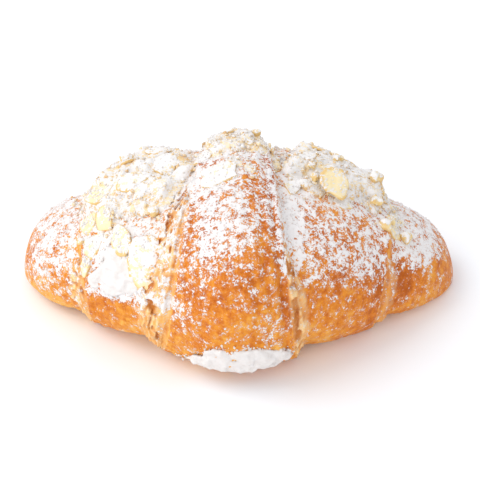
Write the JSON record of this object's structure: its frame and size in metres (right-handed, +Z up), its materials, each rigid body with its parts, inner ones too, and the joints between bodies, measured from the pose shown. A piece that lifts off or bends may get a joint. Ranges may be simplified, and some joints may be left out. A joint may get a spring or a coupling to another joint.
{
  "type": "almond croissant",
  "caption": "Almond croissant: rolled laminated dough with tapered tips, topped with almond cream, flaked almonds and icing sugar.",
  "frame": {"origin": "middle of the whole croissant's footprint, on the surface that it stands on", "axes": "+X along the roll from tip to tip, +Z up, -Y towards the front, where the tips don't bend to"},
  "size_m": [0.158, 0.0936, 0.0629],
  "materials": {
    "baked_dough": "satin",
    "almond_cream": "matte",
    "almond": "matte",
    "icing_sugar": "matte"
  },
  "bodies": {
    "root": {"almond_cream_centre": "almond_cream", "almond_cream_left": "almond_cream", "almond_cream_right": "almond_cream", "almond_crumb_01": "almond", "almond_crumb_02": "almond", "almond_crumb_03": "almond", "almond_crumb_04": "almond", "almond_crumb_05": "almond", "almond_crumb_06": "almond", "almond_crumb_07": "almond", "almond_crumb_08": "almond", "almond_crumb_09": "almond", "almond_crumb_10": "almond", "almond_crumb_11": "almond", "almond_crumb_12": "almond", "almond_crumb_13": "almond", "almond_crumb_14": "almond", "almond_flake_01": "almond", "almond_flake_02": "almond", "almond_flake_03": "almond", "almond_flake_04": "almond", "almond_flake_05": "almond", "almond_flake_06": "almond", "almond_flake_07": "almond", "almond_flake_08": "almond", "almond_flake_09": "almond", "almond_flake_10": "almond", "almond_flake_11": "almond", "almond_flake_12": "almond", "almond_flake_13": "almond", "almond_flake_14": "almond", "almond_flake_15": "almond", "almond_flake_16": "almond", "almond_flake_17": "almond", "almond_flake_18": "almond", "almond_flake_19": "almond", "almond_flake_20": "almond", "almond_flake_21": "almond", "almond_flake_22": "almond", "almond_flake_23": "almond", "almond_flake_24": "almond", "almond_flake_25": "almond", "almond_flake_26": "almond", "almond_flake_27": "almond", "almond_flake_28": "almond", "croissant_dough": "baked_dough", "icing_sugar_foot": "icing_sugar", "icing_sugar_left": "icing_sugar"}
  },
  "joints": []
}
